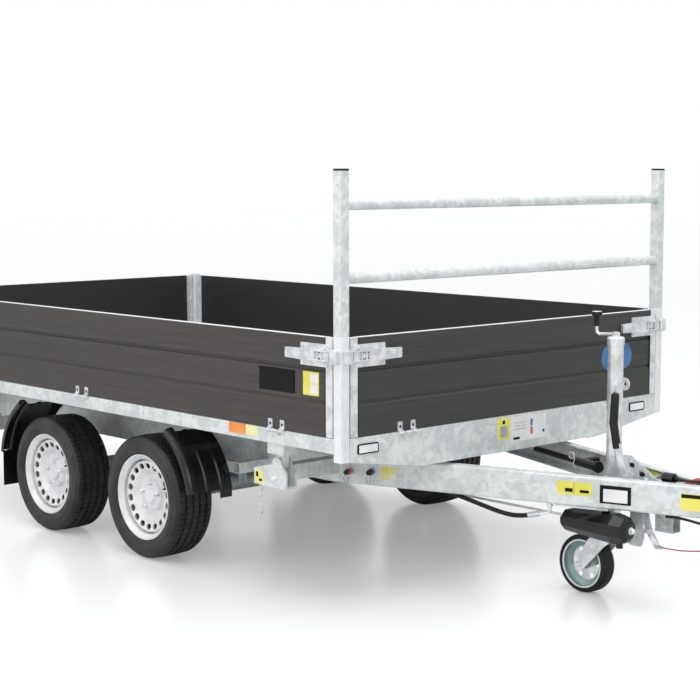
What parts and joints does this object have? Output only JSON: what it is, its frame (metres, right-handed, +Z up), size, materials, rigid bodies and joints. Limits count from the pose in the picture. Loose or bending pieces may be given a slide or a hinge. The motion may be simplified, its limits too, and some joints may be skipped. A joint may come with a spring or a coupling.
{
  "type": "tipping trailer",
  "caption": "Tandem-axle three-way tipping trailer with dark aluminium dropsides, front rack, V drawbar with overrun coupling and jockey wheel.",
  "frame": {"origin": "middle of the whole trailer's length and width at ground level", "axes": "+X forward to the coupling, +Y to the left, +Z up"},
  "size_m": [4.952, 1.948, 1.641],
  "materials": {
    "anodised_board": "dark brown anodised, fine horizontal grain",
    "black_paint": "gloss black",
    "black_plastic": "moulded black",
    "black_rubber": "moulded rubber",
    "bright_aluminium": "natural anodised",
    "cast_housing": "zinc coated",
    "caster_grey": "pale turquoise-grey enamel",
    "chrome_rod": "hard chrome",
    "galvanised_steel": "hot-dip galvanised, mottled grey",
    "lamp_lens": "red and amber moulded lens",
    "red_cable": "red sheath",
    "silver_wheel": "silver painted",
    "tyre_rubber": "satin black",
    "zinc_fittings": "bright zinc plated"
  },
  "bodies": {
    "chassis": {"axles": "galvanised_steel", "bellows": "black_rubber", "brake_linkage": "zinc_fittings", "breakaway_cable": "red_cable", "chassis_crossmembers": "galvanised_steel", "coupling_head": "cast_housing", "coupling_tube": "galvanised_steel", "drawbar_arms": "galvanised_steel", "handbrake_lever": "zinc_fittings", "handbrake_quadrant": "cast_housing", "hydraulic_hose": "black_rubber", "hydraulic_pipe": "zinc_fittings", "jack_bracket": "galvanised_steel", "jack_crank": "zinc_fittings", "jack_leg": "zinc_fittings", "jack_tube": "zinc_fittings", "lamp_bar": "galvanised_steel", "lock_parts": "zinc_fittings", "mudguard_stays": "galvanised_steel", "mudguards": "black_plastic", "overrun_housing": "cast_housing", "pivot_beams": "galvanised_steel", "pump_barrel": "black_paint", "pump_tank": "black_paint", "side_members": "galvanised_steel", "tail_lamps": "lamp_lens", "trailer_cable": "black_rubber", "trailer_plug": "black_plastic"},
    "bed": {"bed_frame": "galvanised_steel", "bed_floor": "galvanised_steel", "bed_pivots": "galvanised_steel", "corner_posts": "bright_aluminium", "front_rack": "galvanised_steel", "rack_caps": "black_plastic", "bed_hinges": "zinc_fittings", "latch_keepers": "zinc_fittings"},
    "dropside_right": {"board_right": "anodised_board", "fittings_right": "zinc_fittings"},
    "dropside_left": {"board_left": "anodised_board", "fittings_left": "zinc_fittings"},
    "dropside_front": {"board_front": "anodised_board", "fittings_front": "zinc_fittings"},
    "tailgate": {"board_tail": "anodised_board", "fittings_tail": "zinc_fittings"},
    "road_wheel_front_right": {"tyre_front_right": "tyre_rubber", "wheel_front_right": "silver_wheel"},
    "road_wheel_front_left": {"tyre_front_left": "tyre_rubber", "wheel_front_left": "silver_wheel"},
    "road_wheel_rear_right": {"tyre_rear_right": "tyre_rubber", "wheel_rear_right": "silver_wheel"},
    "road_wheel_rear_left": {"tyre_rear_left": "tyre_rubber", "wheel_rear_left": "silver_wheel"},
    "caster_swivel_head": {"caster_fork": "zinc_fittings"},
    "caster_roller": {"caster_rim": "caster_grey", "caster_tyre": "tyre_rubber"},
    "ram_foot": {"ram_body": "black_paint"},
    "ram_tube_1": {"ram_stage_1": "chrome_rod"},
    "ram_tube_2": {"ram_stage_2": "chrome_rod"},
    "ram_tube_3": {"ram_stage_3": "chrome_rod"},
    "ram_tube_4": {"ram_stage_4": "chrome_rod"}
  },
  "joints": [
    {"name": "bed_tip", "type": "hinge", "parent": "chassis", "child": "bed", "pos_m": [-2.264, 0, 0.52], "axis": [0, -1, 0], "range_deg": [0, 45]},
    {"name": "dropside_right_fold", "type": "hinge", "parent": "bed", "child": "dropside_right", "pos_m": [-0.794, -0.96, 0.66], "axis": [1, 0, 0], "range_deg": [0, 180]},
    {"name": "dropside_left_fold", "type": "hinge", "parent": "bed", "child": "dropside_left", "pos_m": [-0.794, 0.96, 0.66], "axis": [-1, 0, 0], "range_deg": [0, 180]},
    {"name": "dropside_front_fold", "type": "hinge", "parent": "bed", "child": "dropside_front", "pos_m": [0.886, 0, 0.66], "axis": [0, 1, 0], "range_deg": [0, 90]},
    {"name": "tailgate_swing", "type": "hinge", "parent": "bed", "child": "tailgate", "pos_m": [-2.4515, 0, 1.014], "axis": [0, 1, 0], "range_deg": [0, 90]},
    {"name": "wheel_front_right_spin", "type": "hinge", "parent": "chassis", "child": "road_wheel_front_right", "pos_m": [-0.412, -0.826, 0.2625], "axis": [0, 1, 0], "continuous": true},
    {"name": "wheel_front_left_spin", "type": "hinge", "parent": "chassis", "child": "road_wheel_front_left", "pos_m": [-0.412, 0.826, 0.2625], "axis": [0, 1, 0], "continuous": true},
    {"name": "wheel_rear_right_spin", "type": "hinge", "parent": "chassis", "child": "road_wheel_rear_right", "pos_m": [-1.155, -0.826, 0.2625], "axis": [0, 1, 0], "continuous": true},
    {"name": "wheel_rear_left_spin", "type": "hinge", "parent": "chassis", "child": "road_wheel_rear_left", "pos_m": [-1.155, 0.826, 0.2625], "axis": [0, 1, 0], "continuous": true},
    {"name": "caster_swivel", "type": "hinge", "parent": "chassis", "child": "caster_swivel_head", "pos_m": [1.346, 0.03, 0.25], "axis": [0, 0, 1], "continuous": true},
    {"name": "caster_spin", "type": "hinge", "parent": "caster_swivel_head", "child": "caster_roller", "pos_m": [1.221, 0.03, 0.115], "axis": [0, 1, 0], "continuous": true},
    {"name": "ram_pivot", "type": "hinge", "parent": "chassis", "child": "ram_foot", "pos_m": [-0.624, 0, 0.43], "axis": [0, -1, 0], "range_deg": [0, 22.59]},
    {"name": "ram_slide_1", "type": "slide", "parent": "ram_foot", "child": "ram_tube_1", "axis": [0, 0, 1], "range_m": [0, 0.3128]},
    {"name": "ram_slide_2", "type": "slide", "parent": "ram_tube_1", "child": "ram_tube_2", "axis": [0, 0, 1], "range_m": [0, 0.3128]},
    {"name": "ram_slide_3", "type": "slide", "parent": "ram_tube_2", "child": "ram_tube_3", "axis": [0, 0, 1], "range_m": [0, 0.3128]},
    {"name": "ram_slide_4", "type": "slide", "parent": "ram_tube_3", "child": "ram_tube_4", "axis": [0, 0, 1], "range_m": [0, 0.3128]}
  ],
  "couplings": [
    {"joint": "ram_pivot", "follows": "bed_tip", "ratio": 0.49305},
    {"joint": "ram_slide_1", "follows": "bed_tip", "m_per_rad": 0.39567},
    {"joint": "ram_slide_2", "follows": "bed_tip", "m_per_rad": 0.39567},
    {"joint": "ram_slide_3", "follows": "bed_tip", "m_per_rad": 0.39567},
    {"joint": "ram_slide_4", "follows": "bed_tip", "m_per_rad": 0.39567}
  ]
}
